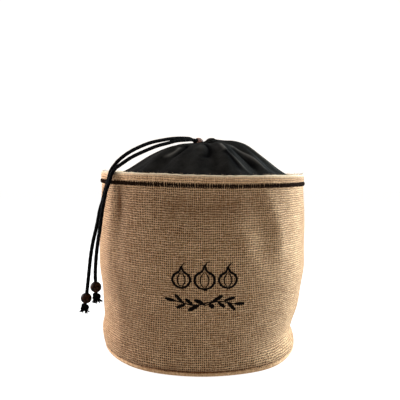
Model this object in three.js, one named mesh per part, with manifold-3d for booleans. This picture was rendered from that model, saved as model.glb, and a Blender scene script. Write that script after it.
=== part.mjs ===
// A round jute storage bag with a gathered cotton cover and a drawstring, in millimetres with +Z up.
// The origin is the middle of the underside of the base. The front is -Y and the right is +X.
// An azimuth is measured from the front towards the right, seen from above.
import * as THREE from "three";
import { mergeVertices } from "three/addons/utils/BufferGeometryUtils.js";
import Module from "manifold-3d";

const wasm = await Module();
wasm.setup();

// Driving dimensions
const bagRadius = 120; // outside of the rim
const bagHeight = 208; // floor to the top of the rim
const rimTilt = 2; // the rim stands this much higher on the left and lower on the right
const rimSag = 1.3; // dip of the rim at the front
const jute = 2; // thickness of the jute cloth
const hemDepth = 18; // how far the rim is folded in
const hemFlare = 0.8; // how far the hem stands out from the wall below its stitches
const seamBelowRim = 11; // the stitched line that holds the cover, below the top of the rim
const weltHeight = 5.2; // rolled edge round the base
const weltReach = 0.8; // how far the welt stands out from the wall above it
const weltWidth = 5;
const cotton = 1.4; // thickness of the cotton cover
const coverRise = 46; // from the cover's seam to the lip of its gather
const gatherRadius = 17; // outside of the gathered lip
const humpRise = 7; // the bunched cloth on the right of the mouth
const mouthRadius = 7.6; // hole that the gathered lip leaves
const mouthFootRadius = 5;
const mouthDepth = 6.4;
const mouthRight = -5; // the mouth's place beside the bag's axis
const mouthBack = -5;
const cordRadius = 2;
const sliderRadius = 6.5; // bead that both cords pass through
const sliderDrop = 0.35; // its middle lies this far below the lip
const endBeadRadius = 6;
const knotRadius = 2.5; // ring radius of each overhand knot
const knotStrand = 1.1;
const frayLength = 5.5;
const clearance = 0.3; // between pieces that touch

// Facets
const wallColumns = 60;
const coverColumns = 80;
const beadSides = 12;
const cordSides = 8;
const cordSteps = 36;

// Colours
const juteMaterial = material(0xa98a66, 0.95);
const cottonMaterial = material(0x1c1c1b, 0.9);
const cordMaterial = material(0x0d0d0d, 0.75);
const woodMaterial = material(0x3a2219, 0.5);

// Outside of the wall. Heights are shares of bagHeight, radii are shares of bagRadius.
const wallSections = [
  { height: 0.0, right: 0.945, front: 1.018, left: 1.015, back: 0.975 },
  { height: 0.045, right: 0.947, front: 1.02, left: 1.035, back: 0.985 },
  { height: 0.1, right: 0.915, front: 1.014, left: 1.042, back: 0.975 },
  { height: 0.16, right: 0.938, front: 1.008, left: 1.022, back: 0.985 },
  { height: 0.24, right: 0.983, front: 1.01, left: 1.022, back: 1.0 },
  { height: 0.34, right: 1.01, front: 1.02, left: 1.03, back: 1.012 },
  { height: 0.46, right: 1.036, front: 1.028, left: 1.05, back: 1.02 },
  { height: 0.58, right: 1.032, front: 1.024, left: 1.047, back: 1.018 },
  { height: 0.7, right: 1.03, front: 1.004, left: 1.036, back: 1.01 },
  { height: 0.8, right: 1.022, front: 0.986, left: 1.024, back: 1.002 },
  { height: 0.9, right: 1.01, front: 0.981, left: 1.008, back: 0.992 },
  { height: 1.0, right: 1.0, front: 1.0, left: 1.0, back: 1.0 },
];

// Dents (positive depth) and bulges (negative) of the wall: azimuth and width in degrees,
// height and tallness as shares of bagHeight, depth as a share of bagRadius. lean is how many
// degrees the azimuth moves over the whole height.
const wallDents = [
  { azimuth: 33, width: 10, height: 0.71, tallness: 0.14, depth: 0.03, lean: -25 },
  { azimuth: 41, width: 5.5, height: 0.68, tallness: 0.14, depth: -0.028, lean: -6 },
  { azimuth: 35, width: 5.5, height: 0.86, tallness: 0.09, depth: -0.014, lean: -35 },
  { azimuth: 27, width: 6, height: 0.86, tallness: 0.09, depth: 0.012, lean: -35 },
  { azimuth: 24, width: 5.5, height: 0.755, tallness: 0.06, depth: 0.009, lean: -73 },
  { azimuth: 22, width: 6, height: 0.655, tallness: 0.05, depth: -0.01, lean: 0 },
  { azimuth: -18, width: 6, height: 0.755, tallness: 0.06, depth: 0.009, lean: 94 },
  { azimuth: 3, width: 16, height: 0.855, tallness: 0.035, depth: 0.01, lean: 0 },
  { azimuth: 0, width: 20, height: 0.62, tallness: 0.12, depth: -0.01, lean: 0 },
  { azimuth: -47.5, width: 5, height: 0.7, tallness: 0.28, depth: 0.02, lean: 0 },
  { azimuth: -55, width: 5, height: 0.68, tallness: 0.3, depth: -0.016, lean: 0 },
  { azimuth: -52, width: 14, height: 0.31, tallness: 0.025, depth: 0.009, lean: 0 },
  { azimuth: 62, width: 14, height: 0.035, tallness: 0.05, depth: -0.018, lean: 0 },
  { azimuth: 38, width: 18, height: 0, tallness: 0.07, depth: -0.045, lean: 0 },
  { azimuth: -34, width: 18, height: 0, tallness: 0.07, depth: -0.016, lean: 0 },
  { azimuth: 125, width: 14, height: 0.55, tallness: 0.22, depth: 0.024, lean: 0 },
  { azimuth: -140, width: 18, height: 0.42, tallness: 0.2, depth: 0.02, lean: 0 },
];

// The cover's outside from its skirt up to the mouth. reach is the share of the way from the gather
// to the skirt, rise the share of coverRise, shift the ring's offset to the right as a share of
// bagRadius, and pleat and fold the shares of the pleats' and folds' full depth there.
const coverRings = [
  { reach: 1.0, rise: -0.15, shift: 0, pleat: 0, fold: 0, hump: 0 },
  { reach: 1.0, rise: 0.02, shift: 0, pleat: 0, fold: 0, hump: 0 },
  { reach: 0.965, rise: 0.1, shift: 0.008, pleat: 0, fold: 0.1, hump: 0 },
  { reach: 0.855, rise: 0.21, shift: 0.018, pleat: 0.05, fold: 0.4, hump: 0 },
  { reach: 0.75, rise: 0.34, shift: 0.024, pleat: 0.1, fold: 0.8, hump: 0 },
  { reach: 0.65, rise: 0.49, shift: 0.03, pleat: 0.2, fold: 1.0, hump: 0 },
  { reach: 0.545, rise: 0.64, shift: 0.036, pleat: 0.35, fold: 1.0, hump: 0.05 },
  { reach: 0.41, rise: 0.8, shift: 0.048, pleat: 0.5, fold: 0.8, hump: 0.2 },
  { reach: 0.28, rise: 0.91, shift: 0.058, pleat: 0.75, fold: 0.5, hump: 0.55 },
  { reach: 0.15, rise: 0.955, shift: 0.05, pleat: 1.0, fold: 0.25, hump: 0.8 },
  { reach: 0.05, rise: 0.95, shift: 0.02, pleat: 1.0, fold: 0, hump: 0.9 },
];

// Folds that run from the gather to the seam. Azimuth and width are in degrees, and depth is a share
// of foldDepth, negative for a ridge.
const foldDepth = 4;
const coverFolds = [
  { azimuth: -62, width: 9, depth: 0.5 },
  { azimuth: -46, width: 7, depth: -0.5 },
  { azimuth: -33, width: 6, depth: 0.9 },
  { azimuth: -18, width: 9, depth: -0.4 },
  { azimuth: 6, width: 6, depth: 0.9 },
  { azimuth: 20, width: 8, depth: -0.6 },
  { azimuth: 36, width: 6, depth: 1.0 },
  { azimuth: 47, width: 5, depth: -0.5 },
  { azimuth: 58, width: 5, depth: 0.8 },
  { azimuth: 82, width: 9, depth: 0.5 },
  { azimuth: 108, width: 8, depth: -0.6 },
  { azimuth: 128, width: 9, depth: 0.7 },
  { azimuth: 152, width: 10, depth: -0.5 },
  { azimuth: 176, width: 9, depth: 0.9 },
  { azimuth: -160, width: 9, depth: -0.5 },
  { azimuth: -138, width: 9, depth: 0.8 },
  { azimuth: -112, width: 10, depth: -0.6 },
  { azimuth: -88, width: 9, depth: 0.7 },
];
const pleatCount = 20;
const pleatDepth = 1.1;

// The two free ends of the drawstring, from the slider over the rim to their knots. The points are
// offsets from the middle of the slider, in the order right, back, up.
const outerCordPoints = [
  [2.9, 4.6, -2.7], [-1.25, 1.85, 0], [-5.3, -0.9, 3], [-9.9, -4.6, 5], [-16.9, -10.2, 5.4],
  [-28, -18.9, 4.6], [-38.7, -27.6, 2.6], [-54.5, -39.8, -1.7], [-70.7, -52.4, -9.7],
  [-79.5, -59.1, -15.9], [-86.4, -64, -22.4], [-89.4, -66.3, -26.5], [-92.1, -69.3, -31],
  [-94.4, -70.1, -37.5], [-96.4, -68.8, -43.7], [-99.9, -68.6, -53.3], [-102.3, -69, -63.1],
  [-105.6, -70, -73.7], [-107.8, -71, -84.4], [-110.6, -72, -96.3], [-113.2, -72.5, -106],
  [-116.4, -73, -121.9], [-120, -73.4, -148], [-123.2, -73.6, -170.3], [-124.3, -73.6, -176],
];
const innerCordPoints = [
  [5, 0.9, -2.7], [1.25, -1.85, 0], [-2.9, -4.7, 2.8], [-8.1, -8.7, 3.6], [-14.5, -14, 3],
  [-24.6, -21.6, 1.7], [-34.6, -29.3, -1.3], [-45.8, -37.8, -4.8], [-60.7, -49.4, -11.6],
  [-72.8, -58.7, -18.2], [-83.4, -66.6, -26.1], [-87.2, -71, -29.3], [-90.6, -74, -34.8],
  [-93.9, -73.3, -43.4], [-97.6, -73, -53.1], [-99.9, -73.2, -62.8], [-102.1, -73.8, -73.4],
  [-103.8, -74.4, -84.1], [-105.6, -75, -95.9], [-107.4, -75.4, -105.6], [-109.8, -76, -121.9],
  [-111.4, -77.2, -142.9], [-111.1, -78, -156.7], [-111, -78.2, -162.4],
];

// Dimensions that follow
const hemThickness = 2 * jute;
const sliderBore = 2 * cordRadius + 2 * clearance;
const endBore = cordRadius + clearance;
const wallFoot = weltHeight + clearance;
const seamHeight = bagHeight - seamBelowRim;
const hemFoot = bagHeight - hemDepth;
const mouthHeight = seamHeight + coverRise;

function material(color, roughness) {
  return new THREE.MeshStandardMaterial({ color, roughness, metalness: 0 });
}

function piece(name, geometry, surface) {
  const mesh = new THREE.Mesh(geometry, surface);
  mesh.name = name;
  return mesh;
}

// A smooth hill of height 1 at 0 that dies away over the width
function hill(distance, width) {
  return Math.exp(-((distance / width) ** 2));
}

// The shortest way round between two azimuths in degrees
function turnBetween(a, b) {
  return THREE.MathUtils.euclideanModulo(a - b + 180, 360) - 180;
}

// A lathe whose vertices are moved to where place(row, azimuth) puts them. Rows go up the outside
// and down the inside, from axis to axis or back to the first.
function turned(rows, columns, place) {
  const profile = rows.map((row) => new THREE.Vector2(row.radius, row.height));
  const geometry = new THREE.LatheGeometry(profile, columns);
  const position = geometry.attributes.position;
  for (let i = 0; i < position.count; i++) {
    const azimuth = (Math.floor(i / rows.length) / columns) * 2 * Math.PI;
    const p = place(rows[i % rows.length], azimuth);
    position.setXYZ(i, p.x, p.y, p.z);
  }
  geometry.computeVertexNormals();
  return geometry;
}

function polar(radius, azimuth, height) {
  return new THREE.Vector3(radius * Math.sin(azimuth), -radius * Math.cos(azimuth), height);
}

const wallCurve = new THREE.CubicInterpolant(
  wallSections.map((s) => s.height),
  wallSections.flatMap((s) => [s.right, s.front, s.left, s.back]),
  4,
);

// Outside radius of the bag at an azimuth and height
function wallRadius(azimuth, height) {
  const share = THREE.MathUtils.clamp(height / bagHeight, 0, 1);
  const [right, front, left, back] = wallCurve.evaluate(share);
  const across = Math.sin(azimuth);
  const along = Math.cos(azimuth);
  let radius = (across > 0 ? right : left) * across ** 2 + (along > 0 ? front : back) * along ** 2;
  const degrees = THREE.MathUtils.radToDeg(azimuth);
  for (const dent of wallDents) {
    const above = share - dent.height;
    const around = hill(turnBetween(degrees, dent.azimuth + dent.lean * above), dent.width);
    radius -= dent.depth * around * hill(above, dent.tallness);
  }
  return radius * bagRadius;
}

// The rim is not level, and what is above the floor leans with it
function tiltAt(x, height) {
  return (-rimTilt * x * height) / (bagRadius * bagHeight);
}

// How far the front of the wall has slid down, most at the rim
function sagAt(azimuth, height) {
  const around = hill(turnBetween(THREE.MathUtils.radToDeg(azimuth), 8), 26);
  return rimSag * around * (height / bagHeight) ** 6;
}

function juteSide() {
  const foldRadius = hemThickness / 2;
  const outside = [
    0, 0.03, 0.07, 0.11, 0.16, 0.23, 0.31, 0.4, 0.5, 0.6, 0.7, 0.8, 0.88, 0.94, 1,
  ].map((share) => ({ inset: 0, height: wallFoot + share * (seamHeight - wallFoot) }));
  const hem = [
    { inset: -hemFlare, height: seamHeight + 0.3 * seamBelowRim },
    { inset: -hemFlare, height: bagHeight - foldRadius },
    { inset: foldRadius - 0.7 * foldRadius - hemFlare, height: bagHeight - 0.3 * foldRadius },
    { inset: foldRadius - hemFlare, height: bagHeight },
    { inset: 1.7 * foldRadius - hemFlare, height: bagHeight - 0.3 * foldRadius },
    { inset: hemThickness - hemFlare, height: bagHeight - foldRadius },
    { inset: hemThickness, height: seamHeight },
    { inset: hemThickness, height: hemFoot },
    { inset: jute, height: hemFoot - jute / 2 },
  ];
  const inside = outside
    .filter((row, i) => i % 3 === 0 && row.height < hemFoot - 2 * jute)
    .reverse()
    .map((row) => ({ inset: jute, height: row.height }));
  const rows = [...outside, ...hem, ...inside, outside[0]].map(({ inset, height }) => ({
    inset,
    height,
    radius: bagRadius - inset,
  }));
  return turned(rows, wallColumns, ({ inset, height }, azimuth) => {
    const p = polar(wallRadius(azimuth, height) - inset, azimuth, height);
    p.z += tiltAt(p.x, height) - sagAt(azimuth, height);
    return p;
  });
}

// Rows given as for a round base of bagRadius, in the outline of the wall's foot
function footTurned(rows) {
  return turned(rows, wallColumns, ({ radius, height }, azimuth) =>
    polar((radius / bagRadius) * wallRadius(azimuth, 0), azimuth, height),
  );
}

// The flat panel that the bag stands on
function juteBase() {
  const edge = bagRadius - weltWidth - clearance;
  return footTurned([
    { radius: 0, height: 0 },
    { radius: edge, height: 0 },
    { radius: edge, height: jute },
    { radius: 0, height: jute },
  ]);
}

// The rolled edge round the panel, which the wall stands on
function baseWelt() {
  const inner = { radius: bagRadius - weltWidth, height: 0 };
  const outer = bagRadius + weltReach;
  return footTurned([
    inner,
    { radius: bagRadius - 0.25 * weltWidth, height: 0 },
    { radius: outer, height: 0.5 * weltHeight },
    { radius: outer - 0.1 * weltWidth, height: 0.8 * weltHeight },
    { radius: bagRadius - 0.2 * weltWidth, height: weltHeight },
    { radius: bagRadius - 0.8 * weltWidth, height: weltHeight },
    inner,
  ]);
}

// Depth of the cover's large folds at an azimuth, 1 for foldDepth
function foldAt(azimuth) {
  const degrees = THREE.MathUtils.radToDeg(azimuth);
  return coverFolds.reduce(
    (sum, fold) => sum + fold.depth * hill(turnBetween(degrees, fold.azimuth), fold.width),
    0,
  );
}

// The bunched cloth right of the mouth, 1 at its top
function humpAt(azimuth) {
  return hill(turnBetween(THREE.MathUtils.radToDeg(azimuth), 95), 62);
}

function cottonCover() {
  const around = { reach: 0, shift: 0, fold: 0 };
  const lip = [
    { ...around, rise: 0.955, pleat: 1.0, hump: 1.0, toMouth: 0.5 },
    { ...around, rise: 0.985, pleat: 1.0, hump: 1.0, toMouth: 0.6, inwards: 3 },
    { ...around, rise: 0.98, pleat: 0.5, hump: 0.8, toMouth: 0.85, inwards: 6.6 },
    { ...around, rise: 0.94, pleat: 0.1, hump: 0.3, toMouth: 1, inwards: gatherRadius - mouthRadius },
  ];
  const mouthRise = (mouthHeight - mouthDepth - seamHeight) / coverRise;
  const foot = { ...around, rise: mouthRise, pleat: 0, hump: 0, toMouth: 1 };
  const footIn = gatherRadius - mouthFootRadius;
  const mouthFoot = [
    { ...foot, inwards: footIn },
    { ...foot, rise: mouthRise - cotton / coverRise, toMouth: 0.9, inwards: footIn - cotton },
  ];
  const underside = coverRings
    .slice(0, -1)
    .reverse()
    .map((ring) => ({ ...ring, under: true }));
  const rows = [...coverRings, ...lip, ...mouthFoot, ...underside, coverRings[0]].map((ring) => ({
    toMouth: 0,
    inwards: 0,
    ...ring,
    radius: gatherRadius + ring.reach * (bagRadius - gatherRadius),
    height: seamHeight + ring.rise * coverRise,
  }));
  return turned(rows, coverColumns, (ring, azimuth) => {
    const skirt = wallRadius(azimuth, ring.height) - hemThickness - 2 * clearance;
    const pleat = ring.pleat * pleatDepth * Math.cos(pleatCount * azimuth);
    const thin = ring.under ? cotton : 0;
    const spread = ring.reach * (skirt - gatherRadius);
    const p = polar(gatherRadius + spread - ring.inwards + pleat - thin, azimuth, ring.height);
    p.x += (1 - ring.toMouth) * ring.shift * bagRadius + ring.toMouth * mouthRight;
    p.y += ring.toMouth * mouthBack;
    p.z += ring.hump * humpRise * humpAt(azimuth) - ring.fold * foldDepth * foldAt(azimuth);
    if (ring.rise > 0.1) p.z -= thin;
    p.z += tiltAt(p.x, seamHeight);
    return p;
  });
}

// A round bead with a bore along Z, as a closed ring profile
function bead(radius, bore) {
  const stop = Math.acos(bore / radius);
  const arcPoints = 8;
  const profile = Array.from({ length: arcPoints + 1 }, (_, i) => {
    const angle = -stop + (2 * stop * i) / arcPoints;
    return new THREE.Vector2(radius * Math.cos(angle), radius * Math.sin(angle));
  });
  profile.push(profile[0].clone());
  return new THREE.LatheGeometry(profile, beadSides).rotateX(Math.PI / 2);
}

function cordCurve(points) {
  return new THREE.CatmullRomCurve3(points.map((p) => new THREE.Vector3(...p)));
}

function cord(points) {
  const section = new THREE.Shape(
    Array.from({ length: cordSides }, (_, i) => {
      const angle = (2 * Math.PI * i) / cordSides;
      return new THREE.Vector2(cordRadius * Math.cos(angle), cordRadius * Math.sin(angle));
    }),
  );
  const options = { steps: cordSteps, bevelEnabled: false, extrudePath: cordCurve(points) };
  return new THREE.ExtrudeGeometry(section, options);
}

function toSolid(geometry) {
  const bare = new THREE.BufferGeometry();
  bare.setAttribute("position", geometry.attributes.position);
  if (geometry.index) bare.setIndex(geometry.index);
  const merged = mergeVertices(bare, 1e-4);
  return new wasm.Manifold(
    new wasm.Mesh({
      numProp: 3,
      vertProperties: new Float32Array(merged.attributes.position.array),
      triVerts: new Uint32Array(merged.index.array),
    }),
  );
}

function toGeometry(solid) {
  const mesh = solid.getMesh();
  const geometry = new THREE.BufferGeometry();
  geometry.setAttribute("position", new THREE.BufferAttribute(mesh.vertProperties, 3));
  geometry.setIndex(new THREE.BufferAttribute(mesh.triVerts, 1));
  geometry.computeVertexNormals();
  return geometry;
}

// An overhand knot with the cord's frayed end below it, hanging from the origin
function knot() {
  const top = -(1.5 * knotRadius + knotStrand);
  const loops = new THREE.TorusKnotGeometry(knotRadius, knotStrand, 25, 5, 2, 3);
  let solid = toSolid(loops.rotateX(Math.PI / 2).translate(0, 0, top));
  const lockCount = 6;
  for (let i = 0; i < lockCount; i++) {
    const lock = new THREE.CylinderGeometry(knotStrand, 0.5 * knotStrand, frayLength, 5);
    lock.rotateX(Math.PI / 2).translate(0, 0, -frayLength / 2);
    lock.rotateX(0.4 + 0.3 * (i % 2)).rotateZ((2 * Math.PI * i) / lockCount);
    solid = solid.add(toSolid(lock.translate(0, 0, top - 0.6 * knotRadius)));
  }
  return toGeometry(solid);
}

// A cord with what is strung on it: the bead sits on the knot, and the knot hangs from the last point
function strungCord(name, points) {
  const group = new THREE.Group();
  const curve = cordCurve(points);
  const end = curve.getPoint(1);
  const along = curve.getTangent(1);
  const hang = new THREE.Quaternion().setFromUnitVectors(new THREE.Vector3(0, 0, -1), along);
  const endBead = piece(`end_bead_${name}`, bead(endBeadRadius, endBore), woodMaterial);
  const beadHalf = Math.sqrt(endBeadRadius ** 2 - endBore ** 2);
  endBead.position.copy(end).addScaledVector(along, -beadHalf);
  endBead.quaternion.copy(hang);
  const endKnot = piece(`end_knot_${name}`, knot(), cordMaterial);
  endKnot.position.copy(end).addScaledVector(along, clearance);
  endKnot.quaternion.copy(hang);
  group.add(piece(`cord_${name}`, cord(points), cordMaterial), endBead, endKnot);
  return group;
}

function drawstring() {
  const group = new THREE.Group();
  group.position.set(mouthRight, mouthBack, mouthHeight - sliderDrop);
  const [start, , out] = outerCordPoints.map((p) => new THREE.Vector3(...p));
  const along = out.sub(start).normalize();
  const slider = piece("slider_bead", bead(sliderRadius, sliderBore), woodMaterial);
  slider.quaternion.setFromUnitVectors(new THREE.Vector3(0, 0, 1), along);
  group.add(slider, strungCord("outer", outerCordPoints), strungCord("inner", innerCordPoints));
  return group;
}

const bag = new THREE.Group();
bag.add(
  piece("jute_side", juteSide(), juteMaterial),
  piece("jute_base", juteBase(), juteMaterial),
  piece("base_welt", baseWelt(), juteMaterial),
  piece("cotton_cover", cottonCover(), cottonMaterial),
  drawstring(),
);

export default bag;
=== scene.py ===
import math

import bpy
import numpy as np
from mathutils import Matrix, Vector


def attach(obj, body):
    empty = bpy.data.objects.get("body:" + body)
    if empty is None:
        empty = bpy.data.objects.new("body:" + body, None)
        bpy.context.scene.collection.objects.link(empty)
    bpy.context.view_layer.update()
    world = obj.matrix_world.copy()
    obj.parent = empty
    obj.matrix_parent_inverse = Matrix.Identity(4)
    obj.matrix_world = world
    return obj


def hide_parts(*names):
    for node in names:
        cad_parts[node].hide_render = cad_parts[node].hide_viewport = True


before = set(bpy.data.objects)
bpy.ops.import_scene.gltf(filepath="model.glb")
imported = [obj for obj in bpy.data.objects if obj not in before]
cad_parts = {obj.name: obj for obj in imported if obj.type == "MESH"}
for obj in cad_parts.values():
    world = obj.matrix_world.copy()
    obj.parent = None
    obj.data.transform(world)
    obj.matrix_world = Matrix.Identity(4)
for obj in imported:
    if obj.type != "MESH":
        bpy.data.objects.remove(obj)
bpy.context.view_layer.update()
rng = np.random.default_rng(11)

# Sizes in metres, the same as the solids'
BAG_RADIUS = 0.120
BAG_HEIGHT = 0.208
RIM_TILT = 0.002
RIM_SAG = 0.0013
JUTE = 0.002
HEM_DEPTH = 0.018
HEM_FLARE = 0.0008
SEAM_BELOW_RIM = 0.011
WELT_HEIGHT = 0.0052
WELT_REACH = 0.0008
WELT_WIDTH = 0.005
COTTON = 0.0014
COVER_RISE = 0.046
GATHER_RADIUS = 0.017
HUMP_RISE = 0.007
MOUTH = (-0.005, -0.005)
SLIDER_DROP = 0.00035
CORD_RADIUS = 0.002
SLIDER_RADIUS = 0.0065
END_BEAD_RADIUS = 0.006
KNOT_RADIUS = 0.0025
KNOT_STRAND = 0.0011
FRAY_LENGTH = 0.0055
CLEARANCE = 0.0003
FOLD_DEPTH = 0.004
PLEAT_COUNT = 20
PLEAT_DEPTH = 0.0011

# Sizes that the solids don't have, in metres: the cords' braid, the flat cut and area of the cover, and
# the slack and the sharp crease of the wall, with the crease's azimuth in degrees
BRAID_PITCH = 0.0075
COVER_CUT = (0.73, 0.13)
SLACK_DEPTH = 0.0006
CREASE_DEPTH = 0.001
CREASE_HEIGHT = 0.178
CREASE_AZIMUTH = -47

# Sizes and places that follow from these
HEM_THICKNESS = 2 * JUTE
RIM_FOLD = HEM_THICKNESS / 2
RIM_FOOT = BAG_HEIGHT - RIM_FOLD
WALL_FOOT = WELT_HEIGHT + CLEARANCE
SEAM_HEIGHT = BAG_HEIGHT - SEAM_BELOW_RIM
HEM_FOOT = BAG_HEIGHT - HEM_DEPTH
MOUTH_HEIGHT = SEAM_HEIGHT + COVER_RISE
SLIDER_CENTRE = np.array([MOUTH[0], MOUTH[1], MOUTH_HEIGHT - SLIDER_DROP])

# The weave: threads round the bag, and the pitch of the threads that run round it
WARP_COUNT = 360
WARP_PITCH = 2.094
WEFT_PITCH = 2.4

# Outside of the wall: height as a share of BAG_HEIGHT, radii as shares of BAG_RADIUS
WALL_SECTIONS = [
    # height, right, front, left, back
    (0.0, 0.945, 1.018, 1.015, 0.975),
    (0.045, 0.947, 1.02, 1.035, 0.985),
    (0.1, 0.915, 1.014, 1.042, 0.975),
    (0.16, 0.938, 1.008, 1.022, 0.985),
    (0.24, 0.983, 1.01, 1.022, 1.0),
    (0.34, 1.01, 1.02, 1.03, 1.012),
    (0.46, 1.036, 1.028, 1.05, 1.02),
    (0.58, 1.032, 1.024, 1.047, 1.018),
    (0.7, 1.03, 1.004, 1.036, 1.01),
    (0.8, 1.022, 0.986, 1.024, 1.002),
    (0.9, 1.01, 0.981, 1.008, 0.992),
    (1.0, 1.0, 1.0, 1.0, 1.0),
]

# Dents of the wall: azimuth, width and lean in degrees, height, tallness and depth as shares
WALL_DENTS = [
    # azimuth, width, height, tallness, depth, lean
    (33, 10, 0.71, 0.14, 0.03, -25),
    (41, 5.5, 0.68, 0.14, -0.028, -6),
    (35, 5.5, 0.86, 0.09, -0.014, -35),
    (27, 6, 0.86, 0.09, 0.012, -35),
    (24, 5.5, 0.755, 0.06, 0.009, -73),
    (22, 6, 0.655, 0.05, -0.01, 0),
    (-18, 6, 0.755, 0.06, 0.009, 94),
    (3, 16, 0.855, 0.035, 0.01, 0),
    (0, 20, 0.62, 0.12, -0.01, 0),
    (-47.5, 5, 0.7, 0.28, 0.02, 0),
    (-55, 5, 0.68, 0.3, -0.016, 0),
    (-52, 14, 0.31, 0.025, 0.009, 0),
    (62, 14, 0.035, 0.05, -0.018, 0),
    (38, 18, 0, 0.07, -0.045, 0),
    (-34, 18, 0, 0.07, -0.016, 0),
    (125, 14, 0.55, 0.22, 0.024, 0),
    (-140, 18, 0.42, 0.2, 0.02, 0),
]

# Rings of the cover: reach, rise, shift, pleat, fold, hump, to_mouth, inwards
COVER_RINGS = [
    (1.0, -0.15, 0.0, 0.0, 0.0, 0.0, 0.0, 0.0),
    (1.0, 0.02, 0.0, 0.0, 0.0, 0.0, 0.0, 0.0),
    (0.965, 0.1, 0.008, 0.0, 0.1, 0.0, 0.0, 0.0),
    (0.855, 0.21, 0.018, 0.05, 0.4, 0.0, 0.0, 0.0),
    (0.75, 0.34, 0.024, 0.1, 0.8, 0.0, 0.0, 0.0),
    (0.65, 0.49, 0.03, 0.2, 1.0, 0.0, 0.0, 0.0),
    (0.545, 0.64, 0.036, 0.35, 1.0, 0.05, 0.0, 0.0),
    (0.41, 0.8, 0.048, 0.5, 0.8, 0.2, 0.0, 0.0),
    (0.28, 0.91, 0.058, 0.75, 0.5, 0.55, 0.0, 0.0),
    (0.15, 0.955, 0.05, 1.0, 0.25, 0.8, 0.0, 0.0),
    (0.05, 0.95, 0.02, 1.0, 0.0, 0.9, 0.0, 0.0),
    (0.0, 0.955, 0.0, 1.0, 0.0, 1.0, 0.5, 0.0),
    (0.0, 0.985, 0.0, 1.0, 0.0, 1.0, 0.6, 0.003),
    (0.0, 0.98, 0.0, 0.5, 0.0, 0.8, 0.85, 0.0066),
    (0.0, 0.94, 0.0, 0.1, 0.0, 0.3, 1.0, 0.0094),
    (0.0, 0.861, 0.0, 0.0, 0.0, 0.0, 1.0, 0.012),
]

# Folds of the cover: azimuth and width in degrees, depth as a share of FOLD_DEPTH
COVER_FOLDS = [
    (-62, 9, 0.5), (-46, 7, -0.5), (-33, 6, 0.9), (-18, 9, -0.4), (6, 6, 0.9), (20, 8, -0.6),
    (36, 6, 1.0), (47, 5, -0.5), (58, 5, 0.8), (82, 9, 0.5), (108, 8, -0.6), (128, 9, 0.7),
    (152, 10, -0.5), (176, 9, 0.9), (-160, 9, -0.5), (-138, 9, 0.8), (-112, 10, -0.6),
    (-88, 9, 0.7),
]

# Creases of the cover that are finer than its folds: width, depth (negative for a ridge), and the
# route right and back of the bag's middle, all in millimetres
COVER_CREASES = [
    (2.6, 2.6, [(-18.5, -33.0), (-18.6, -42.0), (-23.5, -50.9), (-28.5, -57.0), (-35.0, -58.5)]),
    (2.2, -0.9, [(-24.5, -38.0), (-29.0, -47.0), (-36.0, -53.0), (-44.0, -56.0)]),
    (2.4, 2.7, [(1.5, -38.0), (6.0, -47.0), (7.8, -55.8), (6.0, -65.0), (0.5, -71.5), (-5.5, -71.0)]),
    (5.0, -1.4, [(-2.0, -46.0), (-1.5, -54.0), (-2.5, -61.0)]),
    (3.0, 1.4, [(24.0, -58.0), (29.5, -68.0), (36.0, -79.0), (42.5, -90.0)]),
    (1.5, -1.0, [(18.5, -38.0), (22.0, -50.0), (26.0, -59.6), (34.6, -69.9), (46.5, -82.2), (52.0, -88.0)]),
    (2.6, 1.2, [(31.0, -44.0), (42.0, -53.5), (53.0, -62.5), (61.0, -70.0)]),
    (1.6, -1.0, [(28.0, -33.0), (33.0, -39.0), (41.9, -45.0), (54.5, -53.1), (65.0, -61.5), (74.0, -68.0)]),
    (2.6, 1.1, [(45.0, -32.0), (56.0, -38.0), (67.0, -43.0), (78.0, -50.0)]),
    (1.6, -1.0, [(48.0, -17.0), (57.0, -22.5), (68.1, -29.1), (79.1, -34.5), (90.0, -39.5)]),
]

# Routes of the two free ends of the drawstring, in millimetres from the middle of the slider
OUTER_CORD = [
    (2.9, 4.6, -2.7), (-1.25, 1.85, 0), (-5.3, -0.9, 3), (-9.9, -4.6, 5), (-16.9, -10.2, 5.4),
    (-28, -18.9, 4.6), (-38.7, -27.6, 2.6), (-54.5, -39.8, -1.7), (-70.7, -52.4, -9.7),
    (-79.5, -59.1, -15.9), (-86.4, -64, -22.4), (-89.4, -66.3, -26.5), (-92.1, -69.3, -31),
    (-94.4, -70.1, -37.5), (-96.4, -68.8, -43.7), (-99.9, -68.6, -53.3), (-102.3, -69, -63.1),
    (-105.6, -70, -73.7), (-107.8, -71, -84.4), (-110.6, -72, -96.3), (-113.2, -72.5, -106),
    (-116.4, -73, -121.9), (-120, -73.4, -148), (-123.2, -73.6, -170.3), (-124.3, -73.6, -176),
]
INNER_CORD = [
    (5, 0.9, -2.7), (1.25, -1.85, 0), (-2.9, -4.7, 2.8), (-8.1, -8.7, 3.6), (-14.5, -14, 3),
    (-24.6, -21.6, 1.7), (-34.6, -29.3, -1.3), (-45.8, -37.8, -4.8), (-60.7, -49.4, -11.6),
    (-72.8, -58.7, -18.2), (-83.4, -66.6, -26.1), (-87.2, -71, -29.3), (-90.6, -74, -34.8),
    (-93.9, -73.3, -43.4), (-97.6, -73, -53.1), (-99.9, -73.2, -62.8), (-102.1, -73.8, -73.4),
    (-103.8, -74.4, -84.1), (-105.6, -75, -95.9), (-107.4, -75.4, -105.6), (-109.8, -76, -121.9),
    (-111.4, -77.2, -142.9), (-111.1, -78, -156.7), (-111, -78.2, -162.4),
]


# Node graphs

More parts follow.
